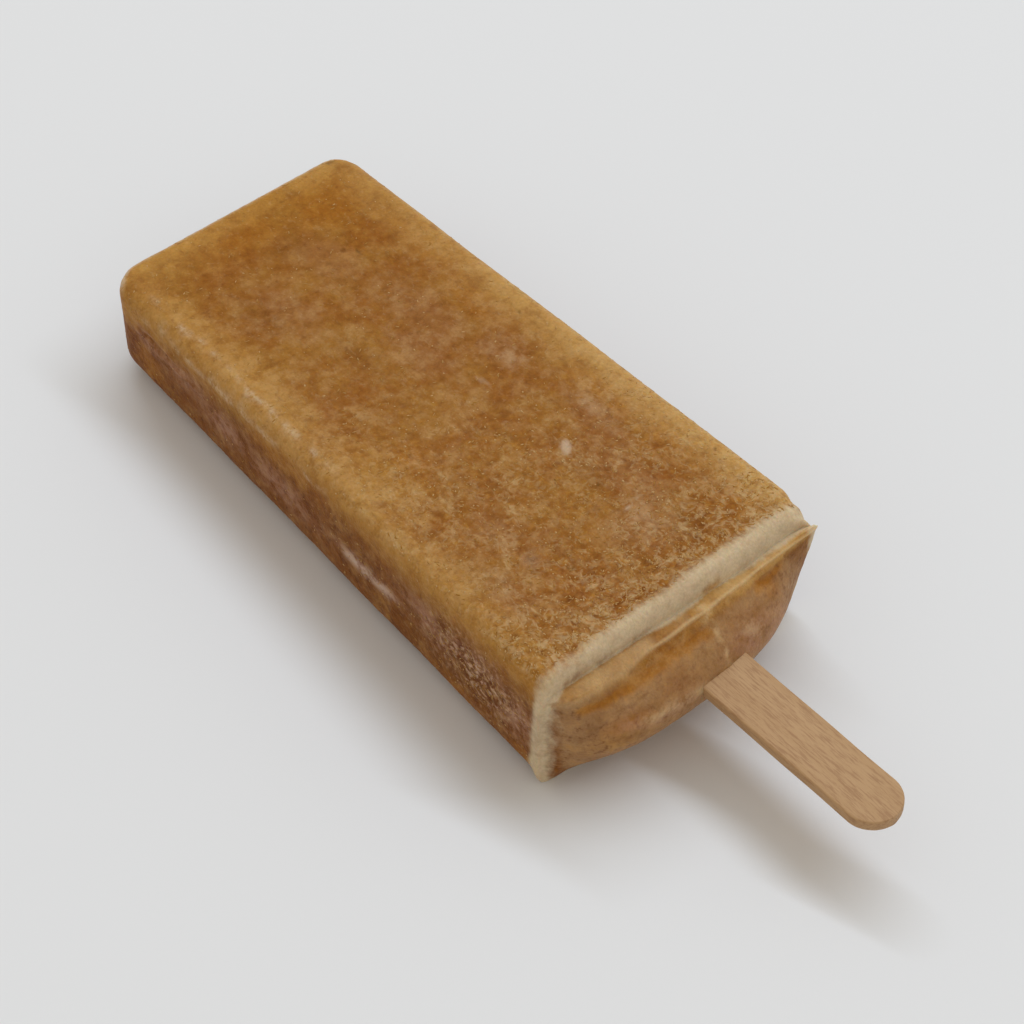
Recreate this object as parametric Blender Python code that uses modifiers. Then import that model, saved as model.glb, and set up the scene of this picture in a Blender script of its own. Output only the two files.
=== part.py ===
"""Ice lolly: a moulded block of frozen fruit on a flat wooden stick, lying on its broad face.

Metres, +Z up. The stick points along +X, the block's width runs along Y, and the block rests on
Z = 0. X = 0 is the middle of the lolly's whole length.
"""
from math import atan, cos, pi, radians, sin, sqrt, tanh

import bmesh
import bpy
from mathutils import Vector

# The moulded block. The mould has draft, so the block is narrower and thinner at its tip.
BLOCK_LENGTH = 0.1142       # from the tip to the mouth of the mould
TIP_WIDTH = 0.0486
MOUTH_WIDTH = 0.0536
TIP_THICKNESS = 0.0198
MOUTH_THICKNESS = 0.0255
TIP_CORNER_RADIUS = 0.0052
EDGE_RADIUS = 0.0030
LOWER_EDGE_RADIUS = 0.0050  # the edges that it lies on

# The stick end. The upper edge drops over a rim, and a shelf below it reaches the end face's
# upper edge, further on the -Y side than on the +Y side. The face bulges to a level crest.
RIM_LENGTH = 0.0020
RIM_DROP = 0.0037
RIM_TO_MOUTH = 0.0009
MOUTH_RADIUS = 0.0014
# Corner radii of a cross-section: lower +Y, upper +Y, upper -Y, lower -Y.
BODY_CORNERS = (LOWER_EDGE_RADIUS, EDGE_RADIUS, EDGE_RADIUS, LOWER_EDGE_RADIUS)
RIM_CORNERS = (0.0060, 0.0055, 0.0030, 0.0027)
MOUTH_CORNERS = (0.0070, 0.0010, 0.0035, 0.0025)
SHELF_DEPTH = 0.0018
SHELF_LEAN = 0.055
BULGE_HEIGHT = 0.0082
BULGE_SKEW = 0.0006
SKEW_CENTRE = 0.0055
SKEW_SPREAD = 0.0080
SHELF_SIDE_POWER = 12
BULGE_SIDE_POWERS = (5, 2.5)    # how squarely it falls off, towards -Y and towards +Y
BULGE_FACE_POWER = 1.6
# The end's +Y corner leans back towards its foot, by this much at the most.
CORNER_LEAN = 0.0020
LEAN_LENGTH = 0.0054
LEAN_START_Y = 0.0120

# The stick: a standard flat one, birch, round at both ends.
STICK_LENGTH = 0.1140
STICK_WIDTH = 0.0095
STICK_THICKNESS = 0.0020
STICK_EDGE_RADIUS = 0.0003
STICK_REACH = 0.0434        # how far it stands beyond the mouth of the mould
STICK_OFFSET = 0.0017       # to the +Y side of the block's middle, at the mouth of the mould
STICK_YAW = radians(0.65)
GAP = 0.0003                # the clear space between stick and ice

# How finely the round stretches are cut.
CORNER_STEPS = 5
WIDTH_STEPS = 20
THICKNESS_STEPS = 6
TIP_STEPS = 6
BODY_STEPS = 6
RIM_STEPS = 4
BULGE_STEPS = 8
STICK_ROUND_STEPS = 32
STICK_EDGE_STEPS = 2
WELD = 1e-6

TOTAL_LENGTH = BLOCK_LENGTH + STICK_REACH
TIP_X = -TOTAL_LENGTH / 2
MOUTH_X = TIP_X + BLOCK_LENGTH
STICK_TILT = atan((MOUTH_THICKNESS - TIP_THICKNESS) / 2 / BLOCK_LENGTH)

ICE_COLOR = (0.42, 0.20, 0.055)
WOOD_COLOR = (0.56, 0.34, 0.19)


def clear_scene():
    for old in list(bpy.data.objects):
        bpy.data.objects.remove(old, do_unlink=True)


def new_collection(name):
    collection = bpy.data.collections.new(name)
    bpy.context.scene.collection.children.link(collection)
    return collection


def make_material(name, color, roughness):
    material = bpy.data.materials.new(name)
    material.use_nodes = True
    shader = material.node_tree.nodes["Principled BSDF"]
    shader.inputs["Base Color"].default_value = (*color, 1.0)
    shader.inputs["Roughness"].default_value = roughness
    shader.inputs["Metallic"].default_value = 0.0
    return material


def make_object(name, bm, collection):
    mesh = bpy.data.meshes.new(name)
    bm.to_mesh(mesh)
    bm.free()
    thing = bpy.data.objects.new(name, mesh)
    collection.objects.link(thing)
    return thing


def round_inset(distance, radius):
    """How far a rounded edge has pulled in, at this distance from the end that it rounds."""
    if distance >= radius:
        return 0.0
    return radius - sqrt(radius ** 2 - (radius - distance) ** 2)


def section_outline(half_width, low, high, radii=BODY_CORNERS):
    """A rectangle with round corners as (across, height) points, anticlockwise from its lower +Y corner."""
    arcs = []
    for quarter, (side, top, radius) in enumerate(zip((1, 1, -1, -1), (0, 1, 1, 0), radii)):
        centre = Vector((side * (half_width - radius), high - radius if top else low + radius))
        angles = [(quarter - 1 + step / CORNER_STEPS) * pi / 2 for step in range(CORNER_STEPS + 1)]
        arcs.append([centre + radius * Vector((cos(angle), sin(angle))) for angle in angles])
    points = []
    for arc, following, steps in zip(arcs, arcs[1:] + arcs[:1], (THICKNESS_STEPS, WIDTH_STEPS) * 2):
        points += arc
        points += [arc[-1].lerp(following[0], step / steps) for step in range(1, steps)]
    return points


def block_width(distance):
    return TIP_WIDTH + (MOUTH_WIDTH - TIP_WIDTH) * distance / BLOCK_LENGTH


def block_thickness(distance):
    return TIP_THICKNESS + (MOUTH_THICKNESS - TIP_THICKNESS) * distance / BLOCK_LENGTH


def body_sections():
    """From the flat end of the tip to where the upper edge starts to drop."""
    turns = [step / TIP_STEPS * pi / 2 for step in range(TIP_STEPS + 1)]
    distances = [TIP_CORNER_RADIUS * (1 - cos(turn)) for turn in turns]
    straight = BLOCK_LENGTH - RIM_TO_MOUTH - RIM_LENGTH - TIP_CORNER_RADIUS
    distances += [TIP_CORNER_RADIUS + straight * step / BODY_STEPS for step in range(1, BODY_STEPS + 1)]
    sections = []
    for distance in distances:
        half_width = block_width(distance) / 2 - round_inset(distance, TIP_CORNER_RADIUS)
        low = round_inset(distance, LOWER_EDGE_RADIUS)
        high = block_thickness(distance) - round_inset(distance, EDGE_RADIUS)
        outline = section_outline(half_width, low, high)
        sections.append([Vector((TIP_X + distance, across, height)) for across, height in outline])
    return sections


def rim_sections():
    """The upper edge drops along a quarter of an ellipse, and the corners soften."""
    sections = []
    for step in range(1, RIM_STEPS + 1):
        turn = step / RIM_STEPS * pi / 2
        to_mouth = RIM_TO_MOUTH + RIM_LENGTH * (1 - sin(turn))
        distance = BLOCK_LENGTH - to_mouth
        inset = round_inset(to_mouth, MOUTH_RADIUS)
        high = block_thickness(distance) - RIM_DROP * (1 - cos(turn))
        radii = [body + (rim - body) * sin(turn) for body, rim in zip(BODY_CORNERS, RIM_CORNERS)]
        outline = section_outline(block_width(distance) / 2 - inset, inset, high, radii)
        sections.append([Vector((TIP_X + distance, across, height)) for across, height in outline])
    return sections


def end_face_x(across, height):
    """Where the end face is, above the mouth of the mould: a shelf on top and a bulge halfway up."""
    side = max(-1.0, min(across / (MOUTH_WIDTH / 2 - MOUTH_RADIUS), 1.0))
    half_height = (MOUTH_THICKNESS - RIM_DROP - MOUTH_RADIUS) / 2
    level = (height - MOUTH_RADIUS - half_height) / half_height
    skew = tanh((across - SKEW_CENTRE) / SKEW_SPREAD)
    power = BULGE_SIDE_POWERS[side > 0]
    shelf = (SHELF_DEPTH - SHELF_LEAN * across) * (1 - max(-side, 0) ** SHELF_SIDE_POWER)
    bulge = (BULGE_HEIGHT - BULGE_SKEW * skew) * (1 - abs(side) ** power)
    return MOUTH_X + shelf * max(level, 0) + bulge * (1 - abs(level) ** BULGE_FACE_POWER)


def end_face_sections():
    """Rings that close in from the mouth to the crest, halfway up."""
    half_width = MOUTH_WIDTH / 2 - MOUTH_RADIUS
    half_height = (MOUTH_THICKNESS - RIM_DROP - MOUTH_RADIUS) / 2
    crest = MOUTH_RADIUS + half_height
    sections = []
    for step in range(BULGE_STEPS + 1):
        share = cos(step / BULGE_STEPS * pi / 2)
        reach = half_height * share
        radii = [radius * share for radius in MOUTH_CORNERS]
        outline = section_outline(half_width - half_height + reach, crest - reach, crest + reach, radii)
        sections.append([Vector((end_face_x(*point), *point)) for point in outline])
    return sections


def smooth_step(low, high, value):
    share = max(0.0, min((value - low) / (high - low), 1.0))
    return share * share * (3 - 2 * share)


def leaned(point):
    """Move a point of the end back, where its +Y corner leans."""
    foot = max(1 - point.z / (MOUTH_THICKNESS - RIM_DROP), 0)
    across = smooth_step(LEAN_START_Y, MOUTH_WIDTH / 2, point.y)
    along = smooth_step(MOUTH_X - LEAN_LENGTH, MOUTH_X, point.x)
    return point - Vector((CORNER_LEAN * foot * across * along, 0, 0))


def loft(sections):
    """Wrap a grid round the sections, weld its seams and close the end that is still open."""
    around = len(sections[0])
    bm = bmesh.new()
    bmesh.ops.create_grid(bm, x_segments=around, y_segments=len(sections) - 1, size=BLOCK_LENGTH)
    for index, vert in enumerate(bm.verts):
        row, column = divmod(index, around + 1)
        vert.co = sections[row][column % around]
    bmesh.ops.remove_doubles(bm, verts=bm.verts, dist=WELD)
    bmesh.ops.holes_fill(bm, edges=bm.edges, sides=0)
    bmesh.ops.recalc_face_normals(bm, faces=bm.faces)
    return bm


def flat_stick(name, clearance, collection):
    """A flat bar with round ends, lying along X, larger all round by the clearance."""
    radius = STICK_WIDTH / 2 + clearance
    bm = bmesh.new()
    for end in (-1, 1):
        disc = bmesh.ops.create_cone(bm, cap_ends=True, segments=STICK_ROUND_STEPS, radius1=radius,
                                     radius2=radius, depth=STICK_THICKNESS + 2 * clearance)
        centre = end * (STICK_LENGTH - STICK_WIDTH) / 2
        bmesh.ops.translate(bm, verts=disc["verts"], vec=(centre, 0, 0))
    hull = bmesh.ops.convex_hull(bm, input=bm.verts)
    inside = [item for item in hull["geom_interior"] if isinstance(item, bmesh.types.BMVert)]
    bmesh.ops.delete(bm, geom=inside, context="VERTS")
    old_caps = [face for face in bm.faces if face in set(hull["geom_unused"])]
    bmesh.ops.delete(bm, geom=old_caps, context="FACES")
    bmesh.ops.dissolve_limit(bm, angle_limit=radians(1), verts=bm.verts, edges=bm.edges)
    stick = make_object(name, bm, collection)
    middle_x = MOUTH_X + STICK_REACH - STICK_LENGTH / 2
    beyond = middle_x - MOUTH_X
    stick.location = (middle_x, STICK_OFFSET + beyond * sin(STICK_YAW),
                      MOUTH_THICKNESS / 2 + beyond * sin(STICK_TILT))
    stick.rotation_euler = (0, -STICK_TILT, STICK_YAW)
    return stick


def build_block(parts, cutters):
    straight = body_sections() + rim_sections() + end_face_sections()
    shape = loft([[leaned(point) for point in section] for section in straight])
    block = make_object("frozen_block", shape, parts)
    block.data.materials.append(make_material("frozen_fruit", ICE_COLOR, 0.45))
    pocket = flat_stick("stick_pocket", GAP, cutters)
    pocket.display_type = "WIRE"
    pocket.hide_render = True
    cut = block.modifiers.new("stick pocket", "BOOLEAN")
    cut.operation = "DIFFERENCE"
    cut.solver = "EXACT"
    cut.object = pocket
    block.data.shade_smooth()
    block.data.set_sharp_from_angle(angle=radians(35))


def build_stick(parts):
    stick = flat_stick("stick", 0.0, parts)
    stick.data.materials.append(make_material("birch", WOOD_COLOR, 0.6))
    rounding = stick.modifiers.new("worn edges", "BEVEL")
    rounding.width = STICK_EDGE_RADIUS
    rounding.segments = STICK_EDGE_STEPS
    rounding.limit_method = "ANGLE"
    rounding.angle_limit = radians(40)
    stick.data.shade_smooth()
    stick.data.set_sharp_from_angle(angle=radians(40))


def main():
    clear_scene()
    parts = new_collection("ice_lolly")
    cutters = new_collection("cutters")
    build_block(parts, cutters)
    build_stick(parts)


main()
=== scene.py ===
"""The looks of the ice lolly: a tapered block of frozen fruit on a flat wooden stick.

Metres, +Z up. The stick points along +X, the block's width runs along Y, and the block lies on
Z = 0. The frosted block and the wooden stick are made here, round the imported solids.
"""
from math import atan, cos, exp, hypot, pi, radians, sin, sqrt, tanh
from random import Random

import bmesh
import bpy
from mathutils import Euler, Matrix, Vector, noise


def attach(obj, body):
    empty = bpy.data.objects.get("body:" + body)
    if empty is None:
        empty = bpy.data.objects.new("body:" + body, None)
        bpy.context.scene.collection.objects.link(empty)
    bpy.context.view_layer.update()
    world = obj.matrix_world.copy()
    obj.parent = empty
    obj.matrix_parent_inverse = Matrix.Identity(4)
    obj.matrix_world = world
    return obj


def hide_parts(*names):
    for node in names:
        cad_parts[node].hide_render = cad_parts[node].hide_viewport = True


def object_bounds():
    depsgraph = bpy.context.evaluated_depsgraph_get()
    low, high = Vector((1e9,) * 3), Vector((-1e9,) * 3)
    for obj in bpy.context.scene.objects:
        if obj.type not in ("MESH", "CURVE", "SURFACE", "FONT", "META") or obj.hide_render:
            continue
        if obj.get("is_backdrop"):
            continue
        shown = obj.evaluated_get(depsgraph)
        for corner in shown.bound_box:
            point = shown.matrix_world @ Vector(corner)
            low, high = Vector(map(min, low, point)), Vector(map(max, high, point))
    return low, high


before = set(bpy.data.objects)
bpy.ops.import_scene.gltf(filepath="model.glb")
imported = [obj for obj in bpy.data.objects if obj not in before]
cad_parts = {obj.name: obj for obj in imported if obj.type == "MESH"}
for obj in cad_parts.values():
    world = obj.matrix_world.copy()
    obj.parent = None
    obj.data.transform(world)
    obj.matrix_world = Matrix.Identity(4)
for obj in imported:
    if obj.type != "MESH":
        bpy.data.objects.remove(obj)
cad_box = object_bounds()

MM = 0.001

# The moulded block, as it was cast.
BLOCK_LENGTH = 0.1142
TIP_WIDTH = 0.0486
MOUTH_WIDTH = 0.0536
TIP_THICKNESS = 0.0198
MOUTH_THICKNESS = 0.0255
TIP_CORNER_RADIUS = 0.0052
EDGE_RADIUS = 0.0030
LOWER_EDGE_RADIUS = 0.0050
RIM_LENGTH = 0.0020
RIM_DROP = 0.0037
RIM_TO_MOUTH = 0.0009
MOUTH_RADIUS = 0.0014
BODY_CORNERS = (LOWER_EDGE_RADIUS, EDGE_RADIUS, EDGE_RADIUS, LOWER_EDGE_RADIUS)
RIM_CORNERS = (0.0060, 0.0055, 0.0030, 0.0027)
MOUTH_CORNERS = (0.0070, 0.0010, 0.0035, 0.0025)
SHELF_DEPTH = 0.0018
SHELF_LEAN = 0.055
BULGE_HEIGHT = 0.0082
BULGE_SKEW = 0.0006
SKEW_CENTRE = 0.0055
SKEW_SPREAD = 0.0080
SHELF_SIDE_POWER = 12
BULGE_SIDE_POWERS = (5, 2.5)    # towards -Y and towards +Y
BULGE_FACE_POWER = 1.6

# The stick.
STICK_LENGTH = 0.1140
STICK_WIDTH = 0.0095
STICK_THICKNESS = 0.0020
STICK_EDGE_RADIUS = 0.0004
STICK_REACH = 0.0434
STICK_OFFSET = 0.0017
STICK_YAW = radians(0.65)
STICK_TILT = atan((MOUTH_THICKNESS - TIP_THICKNESS) / 2 / BLOCK_LENGTH)

# How finely the ice and the wood are divided, about half a millimetre a step.
ICE_STEPS = (8, 92, 34)         # round a corner, across the width, up the thickness
TIP_FACE_STEPS = 14
TIP_STEPS = 14
BODY_STEPS = 193
RIM_STEPS = 10
SHELF_STEPS = 6
BULGE_STEPS = 26
WOOD_STEPS = (3, 40, 4)
STICK_END_STEPS = 24
STICK_BODY_STEPS = 150
WELD = 1e-7

TIP_X = cad_box[0].x
MOUTH_X = TIP_X + BLOCK_LENGTH
FACE_TOP = MOUTH_THICKNESS - RIM_DROP


# ---------------------------------------------------------------- shapes

def smooth(low, high, value):
    """0 up to low, 1 from high on, and a smooth rise between them. Low may be the larger."""
    share = max(0.0, min((value - low) / (high - low), 1.0))
    return share * share * (3 - 2 * share)


def blotch(spot, centre, reach):
    """A soft patch: 1 at its centre, and gone at about twice its reach along each axis."""
    return exp(-sum(((at - middle) / far) ** 2 for at, middle, far in zip(spot, centre, reach)))


def round_inset(distance, radius):
    """How far a rounded edge has pulled in, at this distance from the end that it rounds."""
    if distance >= radius:
        return 0.0
    return radius - sqrt(radius ** 2 - (radius - distance) ** 2)


def section_outline(half_width, low, high, radii, steps):
    """Points (across, height) of a rectangle with round corners, anticlockwise from its lower +Y one."""
    corner_steps, width_steps, thickness_steps = steps
    arcs = []
    for quarter, (side, top, radius) in enumerate(zip((1, 1, -1, -1), (0, 1, 1, 0), radii)):
        centre = Vector((side * (half_width - radius), high - radius if top else low + radius))
        angles = [(quarter - 1 + step / corner_steps) * pi / 2 for step in range(corner_steps + 1)]
        arcs.append([centre + radius * Vector((cos(angle), sin(angle))) for angle in angles])
    points = []
    for arc, following, count in zip(arcs, arcs[1:] + arcs[:1], (thickness_steps, width_steps) * 2):
        points += arc
        points += [arc[-1].lerp(following[0], step / count) for step in range(1, count)]
    return points


def block_width(distance):
    return TIP_WIDTH + (MOUTH_WIDTH - TIP_WIDTH) * distance / BLOCK_LENGTH


def block_thickness(distance):
    return TIP_THICKNESS + (MOUTH_THICKNESS - TIP_THICKNESS) * distance / BLOCK_LENGTH


def closing_rings(half_width, low, high, radii, shares, place):
    """Rings that shrink towards the middle line of an end; place gives the X of a point on it."""
    half_height = (high - low) / 2
    middle = low + half_height
    rings = []
    for share in shares:
        reach = half_height * share
        corners = [radius * share for radius in radii]
        outline = section_outline(half_width - half_height + reach, middle - reach, middle + reach,
                                  corners, ICE_STEPS)
        rings.append([Vector((place(*point), *point)) for point in outline])
    return rings


def tip_face_sections():
    """The flat end of the tip, from its middle out."""
    shares = [step / TIP_FACE_STEPS for step in range(TIP_FACE_STEPS)]
    half_width = TIP_WIDTH / 2 - TIP_CORNER_RADIUS
    high = TIP_THICKNESS - EDGE_RADIUS
    return closing_rings(half_width, LOWER_EDGE_RADIUS, high, BODY_CORNERS, shares,
                         lambda across, height: TIP_X)


def body_sections():
    """From the flat end of the tip to where the upper edge starts to drop."""
    turns = [step / TIP_STEPS * pi / 2 for step in range(TIP_STEPS + 1)]
    distances = [TIP_CORNER_RADIUS * (1 - cos(turn)) for turn in turns]
    straight = BLOCK_LENGTH - RIM_TO_MOUTH - RIM_LENGTH - TIP_CORNER_RADIUS
    distances += [TIP_CORNER_RADIUS + straight * step / BODY_STEPS
                  for step in range(1, BODY_STEPS + 1)]
    sections = []
    for distance in distances:
        half_width = block_width(distance) / 2 - round_inset(distance, TIP_CORNER_RADIUS)
        low = round_inset(distance, LOWER_EDGE_RADIUS)
        high = block_thickness(distance) - round_inset(distance, EDGE_RADIUS)
        outline = section_outline(half_width, low, high, BODY_CORNERS, ICE_STEPS)
        sections.append([Vector((TIP_X + distance, across, height)) for across, height in outline])
    return sections


def rim_sections():
    """The upper edge drops along a quarter of an ellipse, and the corners soften."""
    sections = []
    for step in range(1, RIM_STEPS + 1):
        turn = step / RIM_STEPS * pi / 2
        to_mouth = RIM_TO_MOUTH + RIM_LENGTH * (1 - sin(turn))
        distance = BLOCK_LENGTH - to_mouth
        inset = round_inset(to_mouth, MOUTH_RADIUS)
        high = block_thickness(distance) - RIM_DROP * (1 - cos(turn))
        radii = [body + (rim - body) * sin(turn) for body, rim in zip(BODY_CORNERS, RIM_CORNERS)]
        outline = section_outline(block_width(distance) / 2 - inset, inset, high, radii, ICE_STEPS)
        sections.append([Vector((TIP_X + distance, across, height)) for across, height in outline])
    return sections


def end_face_x(across, height):
    """Where the end face is, above the mouth of the mould: a shelf on top and a bulge halfway up."""
    side = max(-1.0, min(across / (MOUTH_WIDTH / 2 - MOUTH_RADIUS), 1.0))
    half_height = (FACE_TOP - MOUTH_RADIUS) / 2
    level = (height - MOUTH_RADIUS - half_height) / half_height
    skew = tanh((across - SKEW_CENTRE) / SKEW_SPREAD)
    power = BULGE_SIDE_POWERS[side > 0]
    shelf = (SHELF_DEPTH - SHELF_LEAN * across) * (1 - max(-side, 0) ** SHELF_SIDE_POWER)
    bulge = (BULGE_HEIGHT - BULGE_SKEW * skew) * (1 - abs(side) ** power)
    return MOUTH_X + shelf * max(level, 0) + bulge * (1 - abs(level) ** BULGE_FACE_POWER)


def end_face_sections():
    """Rings that close in from the mouth to the crest, halfway up."""
    shares = [cos(step / BULGE_STEPS * pi / 2) for step in range(BULGE_STEPS + 1)]
    return closing_rings(MOUTH_WIDTH / 2 - MOUTH_RADIUS, MOUTH_RADIUS, FACE_TOP, MOUTH_CORNERS, shares,
                         end_face_x)


def shelf_sections(rim, face):
    """The level strip between the lower edge of the rim and the end face."""
    shares = [step / SHELF_STEPS for step in range(1, SHELF_STEPS)]
    return [[low.lerp(high, share) for low, high in zip(rim, face)] for share in shares]


def block_sections():
    rim = rim_sections()
    face = end_face_sections()
    return tip_face_sections() + body_sections() + rim + shelf_sections(rim[-1], face[0]) + face


def stick_sections():
    """Along the stick, whose ends are round in plan."""
    radius = STICK_WIDTH / 2
    half_thickness = STICK_THICKNESS / 2
    turns = [step / STICK_END_STEPS * pi / 2 for step in range(1, STICK_END_STEPS + 1)]
    ends = [radius * (1 - cos(turn)) for turn in turns]
    straight = STICK_LENGTH - STICK_WIDTH
    distances = ends + [radius + straight * step / STICK_BODY_STEPS
                        for step in range(1, STICK_BODY_STEPS)]
    distances += [STICK_LENGTH - distance for distance in reversed(ends)]
    sections = []
    for distance in distances:
        half_width = radius - round_inset(min(distance, STICK_LENGTH - distance), radius)
        corners = (min(STICK_EDGE_RADIUS, half_width / 2),) * 4
        outline = section_outline(half_width, -half_thickness, half_thickness, corners, WOOD_STEPS)
        along = distance - STICK_LENGTH / 2
        sections.append([Vector((along, across, height)) for across, height in outline])
    return sections


def loft(sections):
    """Wrap a grid round the sections, weld its seams and close the ends."""
    around = len(sections[0])
    bm = bmesh.new()
    bmesh.ops.create_grid(bm, x_segments=around, y_segments=len(sections) - 1, size=BLOCK_LENGTH)
    for index, vert in enumerate(bm.verts):
        row, column = divmod(index, around + 1)
        vert.co = sections[row][column % around]
    bmesh.ops.remove_doubles(bm, verts=bm.verts, dist=WELD)
    bmesh.ops.holes_fill(bm, edges=bm.edges, sides=0)
    bmesh.ops.recalc_face_normals(bm, faces=bm.faces)
    bm.normal_update()
    return bm


def make_piece(name, bm, material):
    mesh = bpy.data.meshes.new(name)
    bm.to_mesh(mesh)
    bm.free()
    mesh.shade_smooth()
    mesh.materials.append(material)
    piece = bpy.data.objects.new(name, mesh)
    bpy.context.scene.collection.objects.link(piece)
    return piece


# ---------------------------------------------------------------- the ice's surface

# From here to the next heading, spots, reaches and results are in millimetres.
TIP = TIP_X / MM

# Where each tone of the ice gathers, as (centre, reach) along X, Y and Z.
TONE_PATCHES = {
    "amber": (
        ((-69, 14, 20), (8, 7, 6)), ((-71, -2, 20), (4, 8, 5)), ((-50, 19, 21), (14, 3, 6)),
        ((-34, 17, 22), (8, 3, 6)), ((-6, 19, 24), (10, 2.6, 6)), ((10, 21, 25), (8, 2.6, 6)),
        ((-13, -13, 23), (5, 3, 3)), ((27, 19, 25), (4, 3, 5)), ((30.5, -25, 23), (1.8, 2.0, 2)),
        ((-68, -25, 8), (4, 4, 4.5)), ((31, -26, 4), (4, 4, 3)), ((14, -26, 4), (7, 4, 2.5)),
        ((-30, -25, 17), (9, 3, 3)), ((38, -8, 18.8), (3, 12, 1.5)), ((38, 15, 18.0), (3, 2.2, 1.8)),
        # The first patch on the next line is a painted warm glow on the ice just above the stick.
        ((43, 2, 13.4), (3, 5, 0.8)), ((43, -16, 15.5), (4, 6, 1.6)), ((36.2, -9, 22), (1.2, 6, 1.5)),
    ),
    "gold": (
        ((-46, -20, 21), (24, 3.5, 3)), ((-12, -19, 23), (14, 5, 3)), ((-76, 0, 19), (3, 24, 4)),
        ((37, -21, 22), (2.5, 5, 1)), ((-74, -24, 15), (4, 3, 3)), ((36, 10, 21.8), (2.5, 14, 1.5)),
        ((40, -17, 13), (5, 5, 4)),
    ),
    "rose": (
        ((-57, 5, 21), (9, 5, 3)), ((-38, 9, 22), (13, 5, 3)), ((-22, 13, 23), (6, 4, 3)),
        ((0, 14, 24), (9, 3, 3)), ((12, 10, 25), (12, 5, 3)), ((-52, -7, 21), (9, 4, 3)),
        ((-30, 3, 22), (9, 4, 3)), ((18, -19, 25), (6, 3, 3)), ((22, 4, 25), (6, 6, 3)),
        ((8, -12, 25), (6, 4, 3)), ((41, 8, 16), (5, 7, 4)), ((42, -6, 16), (5, 5, 3)),
    ),
    "dark": (
        ((-36, -5, 22), (6, 2.5, 3)), ((-54, -11, 21), (6, 3, 3)), ((-64, 2, 21), (4, 4, 3)),
        ((9, 6, 25), (6, 3, 3)), ((16, -8, 25), (2.5, 2, 3)), ((26, 10, 25), (4, 3, 3)),
        ((-42, -25, 14), (5, 3, 5)), ((15, -26, 8), (7, 3, 3)), ((41, -23, 8), (3, 2.5, 3)),
        ((-64.5, -25, 15.4), (3.5, 3, 0.9)), ((-51, -25, 12), (5, 3, 1.0)),
    ),
    "haze": (
        ((-67, -25, 13.5), (4, 3, 2.2)), ((-58, -25, 13.5), (7, 4, 3.0)), ((-46, -25, 11), (8, 4, 3)),
        ((-30, -26, 10), (9, 4, 3)), ((-8, -26, 10.8), (8, 4, 1.3)), ((8, -26, 14), (6, 4, 3.5)),
        ((20, -26, 15.5), (6, 4, 2.5)), ((29, -26, 12), (5, 4, 4)), ((43, 9, 15), (5, 5, 3.0)),
        ((44, -8, 13.6), (4, 7, 1.0)), ((41, -15, 15), (4, 4, 2)), ((42, 15, 10), (5, 6, 6)),
        ((43, -10, 6), (5, 8, 4)), ((-20, 13.2, 23), (3.5, 2.5, 3)), ((-4, 15, 24), (3, 2, 3)),
        ((20, 5, 25), (4, 4, 3)),
    ),
}

# Small marks on the upper face, as (X, Y, half length, half width, turn in degrees, strength).
PALE_SPOTS = (
    (1.2, 6.6, 1.5, 0.75, -35, 1.0), (-18.5, 6.2, 1.5, 0.35, 10, 0.4),
    (16.9, 6.2, 1.6, 0.16, -80, 0.8), (15.6, -12.6, 1.6, 1.2, 0, 0.22),
)
DARK_SPOTS = (
    (-76.8, 20.2, 0.9, 0.5, 60, 0.8), (-55.5, 10.0, 0.7, 0.3, 20, 1.0),
    (-57.5, 8.3, 0.5, 0.3, 0, 0.7), (-56.5, 4.6, 0.5, 0.35, 0, 0.6),
    (-25.0, 12.0, 0.3, 0.3, 0, 0.7), (16.6, 23.3, 0.35, 0.25, 0, 0.8),
    (-27.0, 20.5, 0.35, 0.25, 0, 0.8), (20.9, -9.0, 0.6, 0.35, 30, 0.9),
    (15.6, -12.6, 1.0, 0.7, 0, 0.35), (10.7, 5.2, 0.5, 0.3, 40, 0.8),
)


def wander(spot, size, seed=0.0):
    """Smooth noise about zero, whose bumps are about this size."""
    return noise.noise(Vector(spot) / size + Vector((seed, seed, seed)))


def strongest(spot, patches):
    return max(blotch(spot, centre, reach) for centre, reach in patches)


def spotted(spot, marks):
    """1 inside the strongest of some small marks on the upper face, and soft at their edges."""
    x, y, z = spot
    if z < TIP_THICKNESS / MM - 1.5:
        return 0.0
    share = 0.0
    for mark_x, mark_y, length, width, turn, strength in marks:
        away = Vector((x - mark_x, y - mark_y))
        away.rotate(Matrix.Rotation(radians(-turn), 2))
        share = max(share, strength * smooth(1.35, 0.75, hypot(away.x / length, away.y / width)))
    return share


def from_upper_edges(spot):
    """How far a spot is from the block's upper edges, along the surface."""
    x, y, z = spot
    distance = max(x - TIP, 0) * MM
    inward = min(block_width(distance) / 2 / MM - abs(y), x - TIP)
    return max(inward, 0) + max(block_thickness(distance) / MM - z, 0)


def edge_glow(spot, normal):
    """Light that comes through the thin ice along the edges."""
    x, y, _ = spot
    reach = 6.2 + 1.0 * smooth(-5, 15, y) + 2.4 * wander(spot, 6.0)
    glow = smooth(reach, 0.6, from_upper_edges(spot)) * smooth(35.2, 33.0, x)
    return glow * smooth(-0.5, 0.0, normal.z)


def edge_light(spot, normal):
    """Where that glow is palest: close to the edges, and most of all along the far one."""
    x, y, _ = spot
    distance = from_upper_edges(spot)
    uneven = wander(spot, 5.0, 2.0)
    far_edge = smooth(10.5 + 2.0 * uneven, 0.5, distance) * smooth(8, 18, y)
    far_edge *= 0.55 + 0.45 * smooth(-52, -30, x)
    near_edge = 0.50 * smooth(9.0 + 2.5 * uneven, 1.0, distance) * smooth(8, -10, y)
    near_edge *= (1 - 0.35 * smooth(-68, -75, x)) * smooth(32, 12, x)
    return max(far_edge, near_edge) * smooth(34.0, 31.0, x) * smooth(-0.2, 0.5, normal.z)


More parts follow.
